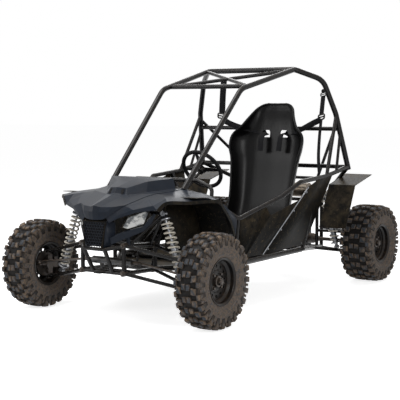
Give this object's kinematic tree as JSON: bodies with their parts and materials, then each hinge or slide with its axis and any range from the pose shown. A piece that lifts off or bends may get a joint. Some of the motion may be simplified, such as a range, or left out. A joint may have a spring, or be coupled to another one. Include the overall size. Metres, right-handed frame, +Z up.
{
  "type": "dune buggy",
  "caption": "Light off-road buggy with a welded tube frame, roll cage, bucket seat, double wishbones in front and a rear engine.",
  "frame": {"origin": "on the ground, half-way between the axles and in the middle of the width", "axes": "+Z up, the front faces -Y, the vehicle's left side is +X"},
  "size_m": [1.546, 2.68, 1.552],
  "materials": {
    "frame_paint": "satin black paint with dust",
    "panel_plastic": "moulded, matt",
    "hood_plastic": "moulded, semi gloss",
    "lamp_glass": "clear lens over a bright bowl",
    "seat_plastic": "moulded shell",
    "webbing": "woven webbing",
    "alloy": "cast",
    "damper_alloy": "turned",
    "spring_paint": "cream powder coat",
    "axle_steel": "dark, machined faces",
    "grip_rubber": "soft grip",
    "engine_alloy": "cast, dusty",
    "exhaust_steel": "heat-stained",
    "rim_steel": "black paint",
    "tyre_rubber": "dusty tread"
  },
  "bodies": {
    "chassis": {"floor_rails": "frame_paint", "nose_rails": "frame_paint", "nose_tubes": "frame_paint", "crossbars": "frame_paint", "roof_rails": "frame_paint", "main_hoop": "frame_paint", "roof_brace": "frame_paint", "side_rails": "frame_paint", "braces": "frame_paint", "rear_frame": "frame_paint", "floor_pan": "panel_plastic", "side_panels": "panel_plastic", "hood": "hood_plastic", "front_fenders": "hood_plastic", "headlamps": "lamp_glass", "lamp_blades": "hood_plastic", "wheel_liners": "panel_plastic", "grille": "panel_plastic", "rear_mudguards": "panel_plastic", "seat": "seat_plastic", "harness": "webbing", "seat_mounts": "frame_paint", "dash": "panel_plastic", "pedals": "frame_paint", "column_bracket": "frame_paint", "rack_housing": "alloy", "front_arms": "frame_paint", "rear_arms": "frame_paint", "dampers": "damper_alloy", "springs": "spring_paint", "rear_uprights": "axle_steel", "engine": "engine_alloy", "final_drive": "engine_alloy", "exhaust": "exhaust_steel"},
    "steering_wheel_body": {"steering_wheel": "grip_rubber"},
    "rack_body": {"rack": "axle_steel"},
    "knuckle_left_body": {"knuckle_left": "axle_steel"},
    "knuckle_right_body": {"knuckle_right": "axle_steel"},
    "wheel_front_left": {"rim_front_left": "rim_steel", "tyre_front_left": "tyre_rubber", "hub_front_left": "axle_steel"},
    "wheel_front_right": {"rim_front_right": "rim_steel", "tyre_front_right": "tyre_rubber", "hub_front_right": "axle_steel"},
    "wheel_rear_left": {"rim_rear_left": "rim_steel", "tyre_rear_left": "tyre_rubber", "hub_rear_left": "axle_steel"},
    "wheel_rear_right": {"rim_rear_right": "rim_steel", "tyre_rear_right": "tyre_rubber", "hub_rear_right": "axle_steel"}
  },
  "joints": [
    {"name": "steer_left", "type": "hinge", "parent": "chassis", "child": "knuckle_left_body", "pos_m": [0.59, -1.06, 0.28], "axis": [0, 0, 1], "range_deg": [-25, 25]},
    {"name": "steer_right", "type": "hinge", "parent": "chassis", "child": "knuckle_right_body", "pos_m": [-0.59, -1.06, 0.28], "axis": [0, 0, 1], "range_deg": [-25, 25]},
    {"name": "rack_slide", "type": "slide", "parent": "chassis", "child": "rack_body", "axis": [1, 0, 0], "range_m": [-0.0375, 0.0375]},
    {"name": "steering_turn", "type": "hinge", "parent": "chassis", "child": "steering_wheel_body", "pos_m": [0.11, -0.35, 0.868], "axis": [0, 0.8375, 0.5465], "range_deg": [-252, 252]},
    {"name": "spin_front_left", "type": "hinge", "parent": "knuckle_left_body", "child": "wheel_front_left", "pos_m": [0.655, -1.06, 0.28], "axis": [1, 0, 0], "continuous": true},
    {"name": "spin_front_right", "type": "hinge", "parent": "knuckle_right_body", "child": "wheel_front_right", "pos_m": [-0.655, -1.06, 0.28], "axis": [1, 0, 0], "continuous": true},
    {"name": "spin_rear_left", "type": "hinge", "parent": "chassis", "child": "wheel_rear_left", "pos_m": [0.655, 1.06, 0.28], "axis": [1, 0, 0], "continuous": true},
    {"name": "spin_rear_right", "type": "hinge", "parent": "chassis", "child": "wheel_rear_right", "pos_m": [-0.655, 1.06, 0.28], "axis": [1, 0, 0], "continuous": true}
  ],
  "couplings": [
    {"joint": "steer_right", "follows": "steer_left", "ratio": 1},
    {"joint": "rack_slide", "follows": "steer_left", "m_per_rad": 0.085},
    {"joint": "steering_turn", "follows": "steer_left", "ratio": 10}
  ]
}
